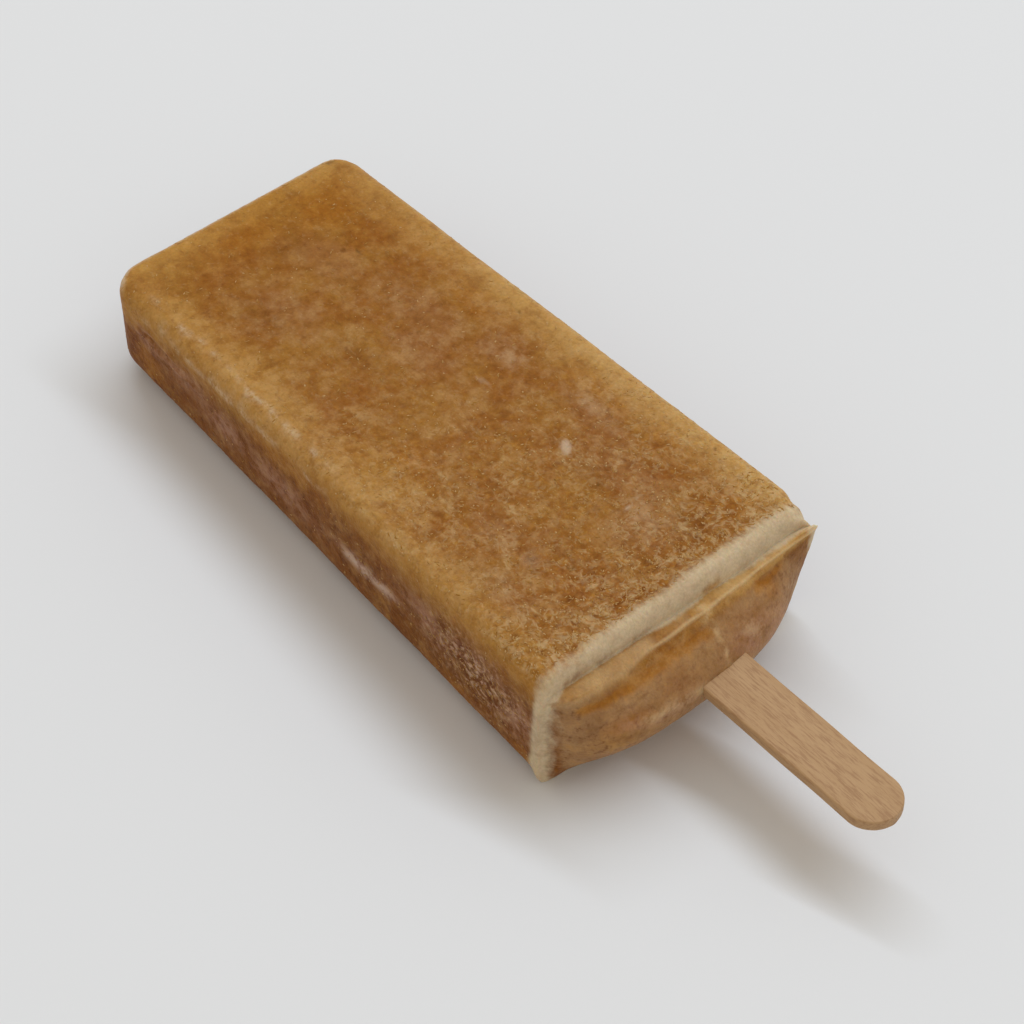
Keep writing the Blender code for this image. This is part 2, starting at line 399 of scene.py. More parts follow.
def edge_frost_and_highlight(spot, normal):
    """The pale line that follows the upper edges: frost, and along the crest of the near edge a painted
    highlight.
    """
    x, y, _ = spot
    distance = from_upper_edges(spot)
    far_edge = smooth(2.2, 0.4, distance) * smooth(10, 20, y)
    tip_edge = smooth(0.95, 0.78, normal.z) * smooth(0.20, 0.50, normal.z)
    tip_edge *= smooth(-0.15, -0.4, normal.x)
    crest = exp(-((distance - 2.6 - 0.7 * wander(spot, 6.0, 3.0)) / 0.5) ** 2)
    near_edge = crest * smooth(-18, -22, y) * smooth(-71, -66, x) * smooth(-14, -24, x)
    broken = smooth(-0.35, 0.25, wander(spot, 2.4, 9.0))
    return max(far_edge * 0.6, tip_edge * 1.2, near_edge * broken) * smooth(34.0, 31.0, x)


def rim_foot(across):
    """Where the drop of the rim meets the shelf."""
    retreat = 0.4 * smooth(3, 6, across) + 0.3 * smooth(9, 24, across)
    foot = 35.3 - retreat + 0.8 * smooth(4, 14, across) + 1.6 * smooth(-22, -26.5, across)
    return foot + 0.6 * blotch((across,), (-2,), (4,))


def rim_frost(spot, normal):
    """The dense frost on the rim, over the top and down the two corners."""
    x, y, z = spot
    if z > FACE_TOP / MM - 0.6:
        start = 33.2 - 0.1 * smooth(9, 22, y) + 0.5 * smooth(5, -3, y) + 0.9 * smooth(-8, -22, y)
        foot = rim_foot(y)
        web = smooth(23.0, 25.5, y) * smooth(37.4, 36.6, x)
        return smooth(start - 2.8, start + 1.5, x) * max(smooth(foot + 1.1, foot - 0.5, x), web)
    start = 31.8 + 0.085 * z
    on_corner = smooth(23.6, 26.4, abs(y)) if x > 35.0 else 1.0
    return smooth(start - 1.0, start + 1.4, x) * on_corner * 0.9


def ridge_height(across):
    """How high the ridge lies that edges the end face."""
    return 21.5 - 0.9 * smooth(-19.0, -26.0, across) + 0.25 * wander((across, 0, 0), 6.0, 3.0)


def rim_shelf(spot, normal):
    """The golden strip between the rim and the ridge, painted lighter against the shade the rim casts on
    it, and the pale far edge of the end face.
    """
    x, y, z = spot
    strip = smooth(rim_foot(y) - 0.6, rim_foot(y) + 0.6, x) * smooth(20.0, 21.0, z)
    strip *= 0.1 + 0.9 * smooth(-4, 9, y)
    return max(strip, 0.8 * smooth(23.0, 25.8, y) * smooth(36.0, 37.0, x) * smooth(2, 6, z))


def end_ridge(spot, normal):
    """The thin pale ridge that edges the end face, and smears out towards the near side."""
    x, y, z = spot
    if x < 35.4:
        return 0.0
    width = 0.24 + 0.6 * smooth(-7, -18, y) + 0.08 * wander((y, 0, 0), 2.5, 7.0)
    strength = 1 - 0.4 * smooth(-2, -16, y)
    return exp(-((z - ridge_height(y)) / width) ** 2) * smooth(35.4, 36.2, x) * strength


def end_trough(spot, normal):
    """The amber hollow just below the ridge, in two stretches."""
    x, y, z = spot
    if x < 35.6:
        return 0.0
    depth = 1.9 + 0.6 * wander((y, 0, 0), 3.5, 11.0)
    along = max(smooth(-25, -21, y) * smooth(4, 2, y), smooth(11, 13, y) * smooth(20, 17, y))
    return exp(-((z - ridge_height(y) + depth) / 0.8) ** 2) * along


def end_seam(spot, normal):
    """A pale, bubbly seam down the end face, and the frost that lies along its crest."""
    x, y, z = spot
    if x < 36.5:
        return 0.0
    sway = 0.6 * wander((0, 0, z), 3.0, 5.0)
    seam = exp(-((y - 2.8 - sway) / 0.45) ** 2) * smooth(13.5, 14.5, z) * smooth(21.5, 20.5, z)
    spur = exp(-((y - 2.6) / 0.8) ** 2) * smooth(19.2, 21.0, z)
    crest_height = 14.6 - 0.09 * (y + 14) + 0.5 * wander((y, 0, 0), 3.0, 2.0)
    crest = exp(-((z - crest_height) / 0.8) ** 2) * smooth(-15.5, -12.5, y) * smooth(-1.5, -3.5, y)
    strokes = 0.6 * exp(-((z - 16 + 0.8 * (y - 9)) / 1.2) ** 2) * smooth(6, 8, y) * smooth(12, 10.5, y)
    return max(seam, spur, crest, strokes)


def side_streak(spot, normal):
    """A whitish smear of frost halfway up the near side."""
    x, y, z = spot
    if y > -20:
        return 0.0
    height = 10.6 + 0.06 * (x + 8) + 0.5 * wander((x, 0, 0), 5.0, 4.0)
    return exp(-((z - height) / 1.1) ** 2) * smooth(-16, -11, x) * smooth(2, -4, x)


def lace_density(spot, normal):
    """How thickly feathery frost grows: thin at the tip, and dense next to the rim."""
    x, y, z = spot
    ahead = x + 16 * smooth(8, -14, y)
    top = 0.16 + 0.36 * smooth(-26, 14, ahead) + 0.46 * smooth(18, 32, x)
    side = 0.10 + 0.75 * blotch(spot, (20, -26, 13), (12, 6, 6))
    side += 0.4 * blotch(spot, (-8, -26, 11), (9, 6, 2))
    end = 0.06 + 0.3 * smooth(9, 4, z)
    density = top * smooth(0.3, 0.8, normal.z) * (1 - 0.8 * smooth(34.5, 36.0, x))
    density += side * smooth(0.3, 0.8, abs(normal.y))
    return density + end * smooth(0.3, 0.8, normal.x)


def frost_veil(spot, normal):
    """A thin veil of frost that fades at the tip, with two bare patches in it."""
    x, y, _ = spot
    bare = max(0.6 * blotch((x, y), (14, 5), (8, 12)), 0.9 * blotch((x, y), (-64, 12), (13, 11)))
    return smooth(-80, -50, x) * (1 - bare) * (0.55 + 0.45 * smooth(0.2, 0.8, normal.z))


def crusted(spot):
    """The flaky crust low on the near side, by the rim."""
    return blotch(spot, (20, -26, 13), (10, 6, 5.5))


# How far parts of the moulded shape moved as they froze.
CORNER_LEAN = 2.0
CORNER_SLUMP = 0.8
TIP_SWELL = 0.4
NUB_ROUNDING = 0.9
NUB_PUSH = (0.3, 1.0, 0.4)


def settled(spot):
    """Where a spot of the moulded shape ends up: the rim and its corners froze unevenly."""
    x, y, z = spot
    upper = smooth(17, 21, z)
    rim_push = 0.9 - 0.7 * smooth(9, 24, y)
    x_shift = rim_push * smooth(30.5, 33.5, x) * smooth(36.2, 34.5, x) * upper
    corner = smooth(20.5, 26.0, y) * upper
    slump = CORNER_SLUMP * smooth(28.8, 31.6, x) * smooth(35.0, 33.6, x) * corner
    nub = smooth(33.4, 34.9, x) * smooth(38.8, 36.8, x) * smooth(20.5, 24.5, y) * smooth(9.0, 18.0, z)
    out, aside, up = (push * nub for push in NUB_PUSH)
    swell = TIP_SWELL * smooth(-74.0, -77.5, x) * smooth(-25, -18, y)
    lean = CORNER_LEAN * max(1 - z / (FACE_TOP / MM), 0) * smooth(12, 26.8, y) * smooth(30, 35.4, x)
    round_off = NUB_ROUNDING * smooth(25.2, 27.2, y) * smooth(34.5, 36.0, x) * upper
    along = x + x_shift + out - lean - swell
    return Vector((along, y - 0.5 * slump + aside, z - slump + up - round_off))


# How far each kind of relief stands out or sinks in.
SWELL_HEIGHT = 0.10
GRAIN_HEIGHT = 0.05
FINE_GRAIN_HEIGHT = 0.03
LACE_HEIGHT = 0.10
RIM_FROST_HEIGHT = 0.06
FLAKE_HEIGHT = 0.35
FINE_FLAKE_HEIGHT = 0.16
FOLD_HEIGHT = 0.5
RIDGE_RELIEF = 0.30
TROUGH_DEPTH = 0.40
SEAM_HEIGHT = 0.20
PALE_SPOT_HEIGHT = 0.05
DARK_SPOT_DEPTH = 0.12


def relief(spot, normal):
    """How far the surface stands out of that shape."""
    x, _, z = spot
    swell = SWELL_HEIGHT * wander(spot, 14.0)
    grain = GRAIN_HEIGHT * wander(spot, 1.25) + FINE_GRAIN_HEIGHT * wander(spot, 0.55, 2.0)
    crust = LACE_HEIGHT * lace_density(spot, normal) * max(0.0, wander(spot, 0.8, 40.0))
    crust += RIM_FROST_HEIGHT * rim_frost(spot, normal) * (1 + 0.5 * wander(spot, 2.5, 20.0))
    flakes = FLAKE_HEIGHT * abs(wander(spot, 1.6, 8.0)) + FINE_FLAKE_HEIGHT * wander(spot, 0.8, 15.0)
    crust += crusted(spot) * flakes
    fold = noise.noise(Vector((x * 0.16, 3, z * 0.8)))
    folds = blotch(spot, (-62, -25, 14), (9, 6, 3.5)) * FOLD_HEIGHT * fold
    crest = RIDGE_RELIEF * end_ridge(spot, normal) - TROUGH_DEPTH * end_trough(spot, normal)
    crest += SEAM_HEIGHT * end_seam(spot, normal)
    marks = PALE_SPOT_HEIGHT * spotted(spot, PALE_SPOTS) - DARK_SPOT_DEPTH * spotted(spot, DARK_SPOTS)
    underside = smooth(-0.6, -0.95, normal.z)
    return (swell + grain + crust + folds + crest + marks) * (1 - underside)


def patch_field(patches):
    """The field of one tone: how near a spot is to the middle of one of its patches."""
    return lambda spot, normal: strongest(spot, patches)


def on_side(spot, normal):
    """The steep faces, away from the upper edges."""
    return smooth(0.80, 0.15, normal.z) * smooth(2.0, 9.0, from_upper_edges(spot))


def on_end(spot, normal):
    """The end face below its ridge."""
    x, _, z = spot
    return smooth(36.0, 37.5, x) * smooth(21.0, 19.5, z)


# What the ice's finish knows of each spot, from 0 to 1.
SURFACE_FIELDS = {name: patch_field(patches) for name, patches in TONE_PATCHES.items()}
SURFACE_FIELDS.update({
    "side": on_side,
    "end": on_end,
    "edge": edge_glow,
    "edge_light": edge_light,
    "edge_frost_and_highlight": edge_frost_and_highlight,
    "rim": rim_frost,
    "shelf": rim_shelf,
    "ridge": end_ridge,
    "trough": end_trough,
    "seam": end_seam,
    "streak": side_streak,
    "lace": lace_density,
    "veil": frost_veil,
    "crust": lambda spot, normal: crusted(spot),
    "pale_spot": lambda spot, normal: spotted(spot, PALE_SPOTS),
    "dark_spot": lambda spot, normal: spotted(spot, DARK_SPOTS),
})


def build_ice(material):
    """The moulded block, settled and frosted, with a value of every surface field at each point."""
    bm = loft(block_sections())
    layers = {name: bm.verts.layers.float.new(name) for name in SURFACE_FIELDS}
    for vert in bm.verts:
        vert.co = settled(vert.co / MM) * MM
    bm.normal_update()
    moves = []
    for vert in bm.verts:
        spot = tuple(vert.co / MM)
        normal = vert.normal.copy()
        for name, field in SURFACE_FIELDS.items():
            vert[layers[name]] = field(spot, normal)
        moves.append(normal * relief(spot, normal) * MM)
    for vert, move in zip(bm.verts, moves):
        vert.co += move
        vert.co.z = max(vert.co.z, 0.0)
    return make_piece("frosted_block", bm, material)


# Frost needles that lie on the ice: how many, and their half lengths, widths and heights.
NEEDLE_SEED = 11
NEEDLE_COUNT = 2800
NEEDLE_BATCH = 100
NEEDLE_LENGTH = (0.14, 0.48)
NEEDLE_WIDTH = (0.07, 0.13)
NEEDLE_HEIGHT = 0.05
LAST_NEEDLE = 33

# The bright ones among them, painted paler to stand for glints, are shorter and wider.
GLINT_SHARE = 0.25
GLINT_LENGTH = 0.7
GLINT_WIDTH = 1.3

# Next to the rim they lie roughly along the block.
COMBED_FROM = 29
COMBED_SPREAD = 0.5


def needle_weight(face):
    """How likely a needle is to grow on this face of the ice."""
    spot = tuple(face.center / MM)
    bare = face.normal.z < -0.3 or face.normal.x > 0.5 or spot[0] > LAST_NEEDLE
    if bare or rim_frost(spot, face.normal) > 0.5:
        return 0.0
    return face.area * (0.05 + lace_density(spot, face.normal) ** 2)


def build_needles(ice, material):
    """Short frost needles, each a stretched bead half sunk in the ice."""
    rng = Random(NEEDLE_SEED)
    faces = ice.data.polygons
    grown = bmesh.new()
    grown.verts.layers.float.new("glint")
    homes = rng.choices(faces, weights=[needle_weight(face) for face in faces], k=NEEDLE_COUNT)
    for first in range(0, NEEDLE_COUNT, NEEDLE_BATCH):
        batch = bmesh.new()
        shine = batch.verts.layers.float.new("glint")
        for face in homes[first:first + NEEDLE_BATCH]:
            corner = ice.data.vertices[face.vertices[rng.randrange(len(face.vertices))]].co
            spot = face.center.lerp(corner, rng.random())
            bright = rng.random() < GLINT_SHARE
            length = rng.uniform(*NEEDLE_LENGTH) * (GLINT_LENGTH if bright else 1.0)
            width = rng.uniform(*NEEDLE_WIDTH) * (GLINT_WIDTH if bright else 1.0)
            spread = COMBED_SPREAD if spot.x / MM > COMBED_FROM else pi
            turn = Matrix.Rotation(rng.uniform(-spread, spread), 4, face.normal)
            lie = face.normal.to_track_quat("Z", "Y").to_matrix().to_4x4()
            stretch = Matrix.Diagonal((length * MM, width * MM, NEEDLE_HEIGHT * MM, 1))
            made = bmesh.ops.create_icosphere(batch, subdivisions=1, radius=1.0,
                                              matrix=Matrix.Translation(spot) @ turn @ lie @ stretch)
            for vert in made["verts"]:
                vert[shine] = float(bright)
        part = bpy.data.meshes.new("needle_batch")
        batch.to_mesh(part)
        batch.free()
        grown.from_mesh(part)
        bpy.data.meshes.remove(part)
    return make_piece("frost_needles", grown, material)


# The wood's grain and how its edges waver, in mm, and how often each repeats in a mm.
WOOD_GRAIN_DEPTH = 0.03
WOOD_WAVER = 0.06
FIBRES_ALONG = 0.05
FIBRES_ACROSS = 2.2
WAVERS_ALONG = 0.12


def build_stick(material):
    """The flat stick, turned and tilted the way it sits in the ice."""
    bm = loft(stick_sections())
    for vert, normal in [(vert, vert.normal.copy()) for vert in bm.verts]:
        x, y, z = vert.co / MM
        fibre = noise.noise(Vector((x * FIBRES_ALONG, y * FIBRES_ACROSS, z * FIBRES_ACROSS)))
        waver = noise.noise(Vector((x * WAVERS_ALONG, 0, 4)))
        vert.co += normal * (WOOD_GRAIN_DEPTH * fibre + WOOD_WAVER * waver * abs(normal.y)) * MM
    middle_x = MOUTH_X + STICK_REACH - STICK_LENGTH / 2
    beyond = middle_x - MOUTH_X
    centre = Vector((middle_x, STICK_OFFSET + beyond * sin(STICK_YAW),
                     MOUTH_THICKNESS / 2 + beyond * sin(STICK_TILT)))
    turn = Euler((0, -STICK_TILT, STICK_YAW)).to_matrix().to_4x4()
    bm.transform(Matrix.Translation(centre) @ turn)
    return make_piece("wooden_stick", bm, material)


# ---------------------------------------------------------------- finishes

def tint(red, green, blue):
    """A colour from its usual 0 to 255 numbers."""
    def linear(value):
        share = value / 255
        return share / 12.92 if share <= 0.04045 else ((share + 0.055) / 1.055) ** 2.4
    return (linear(red), linear(green), linear(blue), 1.0)


def maths(operation, swap=False):
    def combine(self, other):
        pair = (other, self) if swap else (self, other)
        return self.finish.node("ShaderNodeMath", {"operation": operation}, dict(enumerate(pair)))
    return combine


class Wire:
    """One output of a shader node; sums on it add Math nodes."""

    def __init__(self, finish, socket):
        self.finish = finish
        self.socket = socket

    __add__ = __radd__ = maths("ADD")
    __mul__ = __rmul__ = maths("MULTIPLY")
    __sub__ = maths("SUBTRACT")
    __rsub__ = maths("SUBTRACT", swap=True)
    above = maths("MAXIMUM")

    def size(self):
        """How far the value is from zero."""
        return self.above(0.0 - self)


class Finish:
    """A material and the nodes that drive its shader."""

    def __init__(self, name):
        self.material = bpy.data.materials.new(name)
        self.material.use_nodes = True
        self.tree = self.material.node_tree
        self.shader = next(node for node in self.tree.nodes if node.type == "BSDF_PRINCIPLED")

    def feed(self, socket, value):
        if isinstance(value, Wire):
            self.tree.links.new(value.socket, socket)
        else:
            socket.default_value = value

    def node(self, kind, settings=None, inputs=None, output=0):
        node = self.tree.nodes.new(kind)
        for name, value in (settings or {}).items():
            setattr(node, name, value)
        for name, value in (inputs or {}).items():
            self.feed(node.inputs[name], value)
        return Wire(self, node.outputs[output])

    def set(self, **values):
        for name, value in values.items():
            self.feed(self.shader.inputs[name.replace("_", " ")], value)

    def place(self):
        return self.node("ShaderNodeTexCoord", output="Object")

    def field(self, name):
        return self.node("ShaderNodeAttribute", {"attribute_name": name}, output="Fac")

    def noise(self, place, size, detail=3.0, roughness=0.5, output="Fac"):
        return self.node("ShaderNodeTexNoise", inputs={
            "Vector": place, "Scale": 1 / size, "Detail": detail, "Roughness": roughness},
            output=output)

    def smooth(self, low, high, value):
        return self.node("ShaderNodeMapRange", {"interpolation_type": "SMOOTHSTEP"},
                         {"Value": value, "From Min": low, "From Max": high})

    def mix(self, share, first, second, blend="MIX"):
        return self.node("ShaderNodeMix", {"data_type": "RGBA", "blend_type": blend},
                         {0: share, 6: first, 7: second}, output=2)

    def grey(self, value):
        return self.node("ShaderNodeCombineColor", inputs={0: value, 1: value, 2: value})

    def vector(self, operation, first, second):
        return self.node("ShaderNodeVectorMath", {"operation": operation}, {0: first, 1: second})

    def stretched(self, place, scale):
        return self.vector("MULTIPLY", place, scale)

    def warped(self, place, size, strength):
        push = self.noise(place, size, detail=2.0, output="Color")
        centred = self.vector("SUBTRACT", push, (0.5, 0.5, 0.5))
        return self.vector("ADD", place, self.vector("MULTIPLY", centred, (strength,) * 3))

    def bump(self, height, distance, strength):
        inputs = {"Height": height, "Distance": distance, "Strength": strength}
        return self.node("ShaderNodeBump", inputs=inputs, output="Normal")


FRUIT_BROWN = tint(146, 88, 24)
FRUIT_DARK = tint(116, 66, 16)
FRUIT_TAN = tint(164, 115, 44)
FRUIT_ROSE = tint(150, 98, 54)
FRUIT_AMBER = tint(162, 101, 24)
FRUIT_GOLD_AND_PAINTED_GLOW = tint(176, 125, 54)
GOLD_AND_PAINTED_LIGHT = tint(200, 156, 90)
END_TAN = tint(174, 137, 96)
SIDE_BROWN = tint(118, 66, 24)
EDGE_PALE = tint(202, 176, 142)
FROST_CREAM = tint(208, 178, 132)
FROST_RIM = tint(212, 192, 158)
FROST_GREY = tint(178, 132, 110)
FROST_PALE = tint(212, 186, 168)
FROST_TAN = tint(182, 142, 100)
FROST_VEIL = tint(190, 165, 130)
FLAKE_PALE = tint(200, 166, 142)
CRUST_DARK = tint(100, 54, 24)
SPOT_PALE = tint(208, 184, 156)
SPOT_DARK = tint(88, 54, 18)

# How coarse each layer of the ice's finish is, how far its curls stray, and its gloss.
CLOUD_SIZE = 10 * MM
MOTTLE_SIZE = 3 * MM
FINE_SIZE = 1.2 * MM
CURL_SIZE = 1.6 * MM
BREAK_SIZE = 2.2 * MM
STROKE_SIZE = 1.1 * MM
LEAN_SIZE = 6 * MM
PATCH_SIZE = 5 * MM
FLECK_SIZE = 0.7 * MM
SPECKLE_SIZE = 0.9 * MM
GRAIN_SIZE = 0.45 * MM
CURL_WARP = 2.4 * MM
FROST_BUMP = 0.2 * MM
ICE_IOR = 1.31


def fruit_flesh(finish, place, field):
    """The fruit's colour: mottled browns and the tones that gather in ragged patches, with painted glow
    along the thin edges and painted light on the shelf by the rim.
    """
    clouds = finish.noise(place, CLOUD_SIZE, detail=5.0, roughness=0.62)
    mottle = finish.noise(place, MOTTLE_SIZE, detail=4.0, roughness=0.62)
    fine = finish.noise(place, FINE_SIZE, detail=3.0, roughness=0.62)

    def ragged(name):
        return finish.smooth(0.12, 0.95, field[name] + (mottle - 0.5) * 1.1 + (fine - 0.5) * 0.5)

    color = finish.mix(finish.smooth(0.34, 0.66, clouds), FRUIT_BROWN, FRUIT_TAN)
    color = finish.mix(field["lace"] * 0.3 + 0.3, color, FRUIT_BROWN)
    color = finish.mix(field["side"] * 0.8, color, SIDE_BROWN)
    color = finish.mix(field["end"] * 0.65, color, END_TAN)
    color = finish.mix(ragged("rose") * 0.55, color, FRUIT_ROSE)
    color = finish.mix(ragged("dark") * 0.30, color, FRUIT_DARK)
    color = finish.mix(ragged("gold") * 0.60, color, FRUIT_GOLD_AND_PAINTED_GLOW)
    color = finish.mix(ragged("amber") * 0.50, color, FRUIT_AMBER)
    # Painted glow: light coming through the thin ice along the edges, painted gold.
    color = finish.mix(field["edge"] * 0.65, color, FRUIT_GOLD_AND_PAINTED_GLOW)
    # Painted glow: the palest light through the edges, most of all along the far one.
    color = finish.mix(field["edge_light"] * (clouds * 0.6 + 0.4), color, GOLD_AND_PAINTED_LIGHT)
    # Partly painted light: the shelf strip is painted paler gold to cancel the shade the rim casts on
    # it.
    color = finish.mix(field["shelf"] * (mottle * 0.8 + 0.35), color, GOLD_AND_PAINTED_LIGHT)
    color = finish.mix(ragged("trough") * 0.9, color, FRUIT_AMBER)
    light = (finish.smooth(0.48, 0.72, mottle) * 0.75).above(
        finish.smooth(0.48, 0.72, fine) * (field["lace"] * 0.7 + 0.35))
    deep = (finish.smooth(0.48, 0.28, mottle) * (field["veil"] * 0.1 + 0.36)).above(
        finish.smooth(0.48, 0.28, fine) * (field["side"] * 0.4 + 0.4))
    color = finish.mix(light, color, finish.mix(0.4, color, FRUIT_TAN, blend="SCREEN"))
    return finish.mix(deep, color, finish.mix(0.75, color, FRUIT_TAN, blend="MULTIPLY"))


def feathery_frost(finish, place, warped, field):
    """The lace of curls and short strokes of frost, the gaps in it, and the flecks between."""
    curls = (finish.noise(warped, CURL_SIZE, detail=2.0) - 0.5).size()
    broken = finish.smooth(0.40, 0.58, finish.noise(place, BREAK_SIZE, detail=2.0))
    web = finish.smooth(0.10, 0.01, curls) * broken
    flecks = finish.noise(finish.stretched(warped, (0.6, 1.0, 1.0)), FLECK_SIZE, detail=2.0)
    flecks = finish.smooth(0.60, 0.70, flecks) * (field["lace"] * 0.8 + 0.2) * (1 - field["end"])
    along, across = (
        finish.noise(finish.stretched(warped, scale), STROKE_SIZE, detail=3.0, roughness=0.6)
        for scale in ((0.45, 1.0, 1.0), (1.0, 0.45, 1.0)))
    lean = finish.smooth(0.44, 0.56, finish.noise(place, LEAN_SIZE, detail=1.0))
    strokes = along * lean + across * (1 - lean)
    patchy = finish.noise(place, PATCH_SIZE, detail=3.0)
    grown = finish.smooth(0.25, 1.15, field["lace"] + patchy - 0.35)
    lace = (web * 0.7).above(finish.smooth(0.52, 0.68, strokes)) * grown * (1 - field["end"] * 0.5)
    gaps = finish.smooth(0.50, 0.32, strokes) * grown
    return lace, gaps, flecks


def flaky_crust(finish, warped, field, color):
    """Dark ground with pale flakes on it."""
    flakes = finish.noise(warped, STROKE_SIZE, detail=3.0, roughness=0.6)
    color = finish.mix(field["crust"] * finish.smooth(0.52, 0.44, flakes) * 0.70, color, CRUST_DARK)
    return finish.mix(field["crust"] * finish.smooth(0.53, 0.62, flakes) * 0.70, color, FLAKE_PALE)


def frozen_fruit():
    """The ice, from the fruit's flesh up through the haze to the frost on top."""
    finish = Finish("frozen_fruit")
    place = finish.place()
    field = {name: finish.field(name) for name in SURFACE_FIELDS}
    color = fruit_flesh(finish, place, field)
    wisps = finish.noise(place, MOTTLE_SIZE, detail=5.0, roughness=0.68)
    haze = finish.mix(field["side"].above(field["end"]), FROST_TAN, FROST_GREY)
    color = finish.mix(field["haze"] * finish.smooth(0.34, 0.60, wisps) * 0.6, color, haze)
    veil = field["veil"] * (finish.smooth(0.42, 0.66, wisps) * 0.16 + 0.02)
    color = finish.mix(veil, color, FROST_VEIL)

    warped = finish.warped(place, MOTTLE_SIZE, CURL_WARP)
    lace, gaps, flecks = feathery_frost(finish, place, warped, field)
    color = finish.mix(gaps * 0.60, color, finish.mix(0.8, color, FRUIT_TAN, blend="MULTIPLY"))
    color = finish.mix(flecks * 0.35, color, FROST_CREAM)
    color = finish.mix(lace * 0.55, color, FROST_CREAM)

    fringe = finish.noise(finish.stretched(place, (0.30, 1.0, 0.5)), SPECKLE_SIZE, detail=4.0)
    speckle = finish.noise(place, SPECKLE_SIZE, detail=3.0, roughness=0.65)
    rim = finish.smooth(0.12, 0.88, field["rim"] + (fringe - 0.5) * 0.6 + (wisps - 0.5) * 0.6)
    edge_line = field["edge_frost_and_highlight"] * finish.smooth(0.25, 0.6, speckle)
    # Frost along the upper edges, and a painted highlight on the near edge's crest.
    color = finish.mix(edge_line * 0.7, color, EDGE_PALE)
    end_lines = field["ridge"].above(field["seam"] * finish.smooth(0.35, 0.62, wisps) * 0.9)
    color = finish.mix(end_lines * 0.75, color, FROST_CREAM)
    color = finish.mix(field["streak"] * finish.smooth(0.36, 0.60, wisps) * 0.70, color, FROST_PALE)
    color = finish.mix(rim * (finish.smooth(0.3, 0.6, wisps) * 0.14 + 0.70), color, FROST_RIM)
    color = finish.mix(field["pale_spot"] * 0.6, color, SPOT_PALE)
    color = finish.mix(field["dark_spot"] * 0.6, color, SPOT_DARK)
    color = flaky_crust(finish, warped, field, color)

    grain = finish.noise(place, GRAIN_SIZE, detail=3.0, roughness=0.6)
    shade = finish.grey(finish.smooth(0.25, 0.75, grain) * 0.16 + 0.90)
    color = finish.mix(1.0, color, shade, blend="MULTIPLY")
    height = lace * 0.5 + grain * 0.5 + speckle * (1 - rim * 0.8)
    finish.set(Base_Color=color, Roughness=0.45 + lace * 0.15 + rim * 0.3)
    finish.set(IOR=ICE_IOR, Specular_IOR_Level=0.10, Normal=finish.bump(height, FROST_BUMP, 0.6))
    finish.set(Subsurface_Weight=0.3, Subsurface_Radius=(1.0, 0.40, 0.15), Subsurface_Scale=0.003)
    return finish.material


NEEDLE_CREAM = tint(182, 140, 84)
NEEDLE_BRIGHT = tint(194, 156, 104)


def frost_crystal():
    finish = Finish("frost_crystal")
    tone = finish.noise(finish.place(), MOTTLE_SIZE, detail=3.0)
    color = finish.mix(finish.smooth(0.35, 0.65, tone), NEEDLE_CREAM, FRUIT_TAN)
    # Painted glint: the glinting needles get the paler colour.
    color = finish.mix(finish.field("glint"), color, NEEDLE_BRIGHT)
    finish.set(Base_Color=color, Roughness=0.6, IOR=ICE_IOR, Specular_IOR_Level=0.2)
    return finish.material


WOOD_TAN = tint(180, 141, 96)
WOOD_DARK = tint(146, 102, 62)
WOOD_PALE = tint(192, 154, 110)
FIBRE_SIZE = 0.32 * MM
BAND_SIZE = 3 * MM
PORE_SIZE = 0.35 * MM
WOOD_BUMP = 0.1 * MM


def birch():
    finish = Finish("birch")
    place = finish.place()
    fine_place = finish.stretched(place, (0.10, 1.0, 1.0))
    fibres = finish.noise(fine_place, FIBRE_SIZE, detail=3.0, roughness=0.65)
    bands = finish.noise(finish.stretched(place, (0.06, 1.0, 1.0)), BAND_SIZE, detail=3.0)
    pores = finish.noise(finish.stretched(place, (0.12, 1.0, 1.0)), PORE_SIZE, detail=2.0)
    color = finish.mix(finish.smooth(0.35, 0.70, bands) * 0.6, WOOD_TAN, WOOD_PALE)
    color = finish.mix(finish.smooth(0.44, 0.66, fibres) * 0.6, color, WOOD_DARK)
    color = finish.mix(finish.smooth(0.64, 0.74, pores) * 0.3, color, WOOD_DARK)
    finish.set(Base_Color=color, Roughness=0.62, Normal=finish.bump(fibres + pores, WOOD_BUMP, 0.5))
    return finish.material


def plain(name, color, roughness):
    finish = Finish(name)
    finish.set(Base_Color=color, Roughness=roughness)
    return finish.material


# ---------------------------------------------------------------- the studio

FLOOR_SIZE = 6.0
FLOOR_DROP = 0.0001
FLOOR_COLOR = (0.80, 0.80, 0.80, 1.0)

CAMERA_AZIMUTH = radians(51.05828625)
CAMERA_ELEVATION = radians(48.99601803)
CAMERA_ROLL = radians(-0.6305411)
CAMERA_DISTANCE = 0.46868
CAMERA_AIM = (cad_box[0] + cad_box[1]) / 2 + Vector((-0.00323, -0.00059, -0.00268))
CAMERA_LENS = 105.46875
SENSOR_WIDTH = 36.0

KEY_DISTANCE = 3.0
KEY_SIZE = (4.8, 0.2)
KEY_DIRECTION = Vector((-0.15, 0.48, 1.0)).normalized()
KEY_POWER = 56.5
KEY_COLOR = (0.77, 0.87, 1.0)
AMBIENT_COLOR = (1.0, 0.94, 0.85, 1.0)
AMBIENT_STRENGTH = 0.59


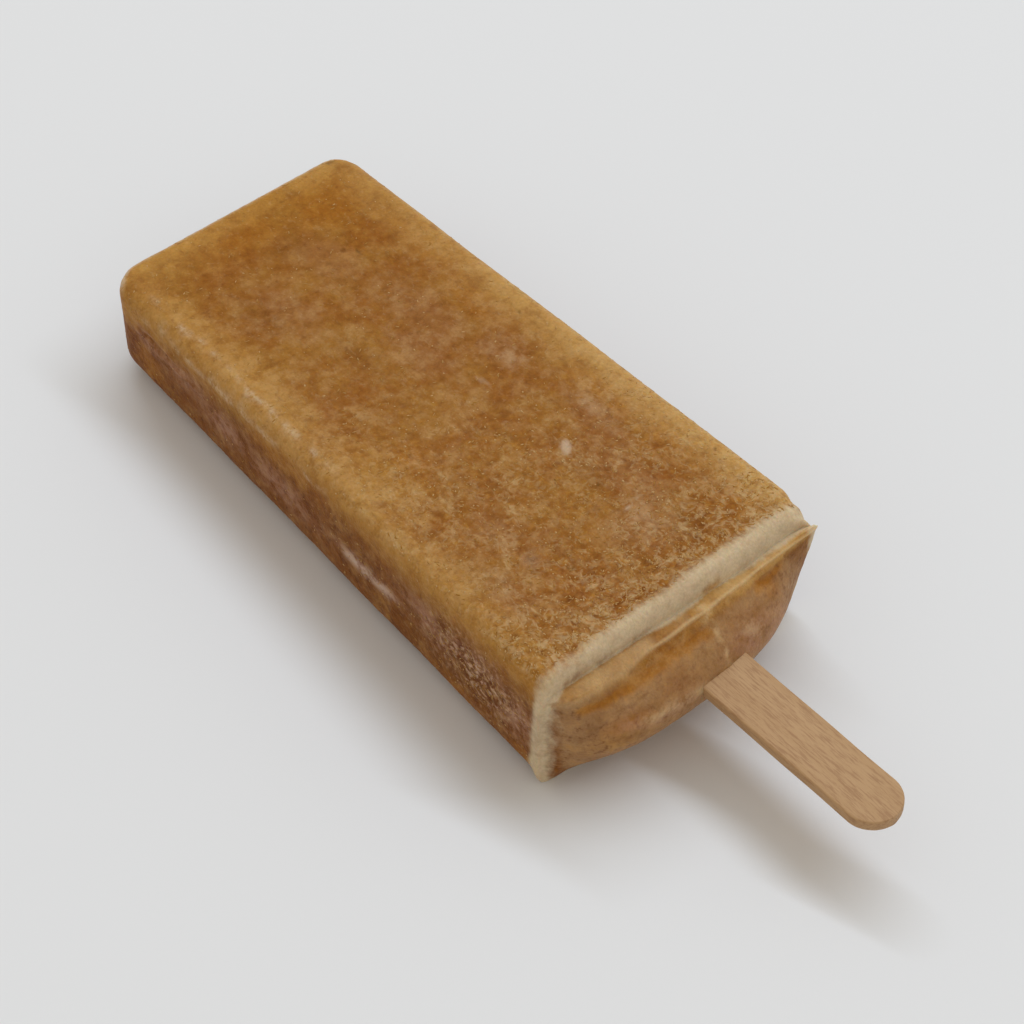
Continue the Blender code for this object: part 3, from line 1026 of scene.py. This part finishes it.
def build_floor():
    bm = bmesh.new()
    bmesh.ops.create_grid(bm, x_segments=1, y_segments=1, size=FLOOR_SIZE / 2)
    bmesh.ops.translate(bm, verts=bm.verts, vec=(0, 0, cad_box[0].z - FLOOR_DROP))
    floor = make_piece("studio_floor", bm, plain("studio_floor", FLOOR_COLOR, 0.9))
    floor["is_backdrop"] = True


def build_camera():
    """Aimed a little past the block's middle, from the stick's side and above."""
    azimuth, elevation = CAMERA_AZIMUTH, CAMERA_ELEVATION
    back = Vector((sin(azimuth) * cos(elevation), -cos(azimuth) * cos(elevation), sin(elevation)))
    right = Vector((cos(azimuth), sin(azimuth), 0))
    turn = Matrix((right, back.cross(right), back)).transposed() @ Matrix.Rotation(CAMERA_ROLL, 3, "Z")
    data = bpy.data.cameras.new("camera")
    data.lens = CAMERA_LENS
    data.sensor_width = SENSOR_WIDTH
    data.clip_start = 0.01
    camera = bpy.data.objects.new("camera", data)
    camera.matrix_world = Matrix.Translation(CAMERA_AIM + back * CAMERA_DISTANCE) @ turn.to_4x4()
    bpy.context.scene.collection.objects.link(camera)
    bpy.context.scene.camera = camera


def build_lights():
    data = bpy.data.lights.new("key", "AREA")
    data.shape = "RECTANGLE"
    data.size, data.size_y = KEY_SIZE
    data.energy = KEY_POWER
    data.color = KEY_COLOR
    key = bpy.data.objects.new("key", data)
    turn = KEY_DIRECTION.to_track_quat("Z", "Y").to_matrix().to_4x4()
    key.matrix_world = Matrix.Translation(KEY_DIRECTION * KEY_DISTANCE) @ turn
    bpy.context.scene.collection.objects.link(key)
    world = bpy.data.worlds.new("studio")
    bpy.context.scene.world = world
    world.use_nodes = True
    background = world.node_tree.nodes["Background"]
    background.inputs["Color"].default_value = AMBIENT_COLOR
    background.inputs["Strength"].default_value = AMBIENT_STRENGTH


def write_sizes():
    boxes = {"cad": cad_box, "visual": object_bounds()}
    {name: [list(corner) for corner in box] for name, box in boxes.items()}


def main():
    block = build_ice(frozen_fruit())
    needles = build_needles(block, frost_crystal())
    stick = build_stick(birch())
    for piece, slot in ((block, "frozen_fruit"), (needles, "frozen_fruit"), (stick, "birch")):
        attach(piece, "root")
    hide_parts("frozen_block")
    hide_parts("stick")
    build_floor()
    build_camera()
    build_lights()
    bpy.context.scene.view_settings.view_transform = "Standard"
    write_sizes()


main()
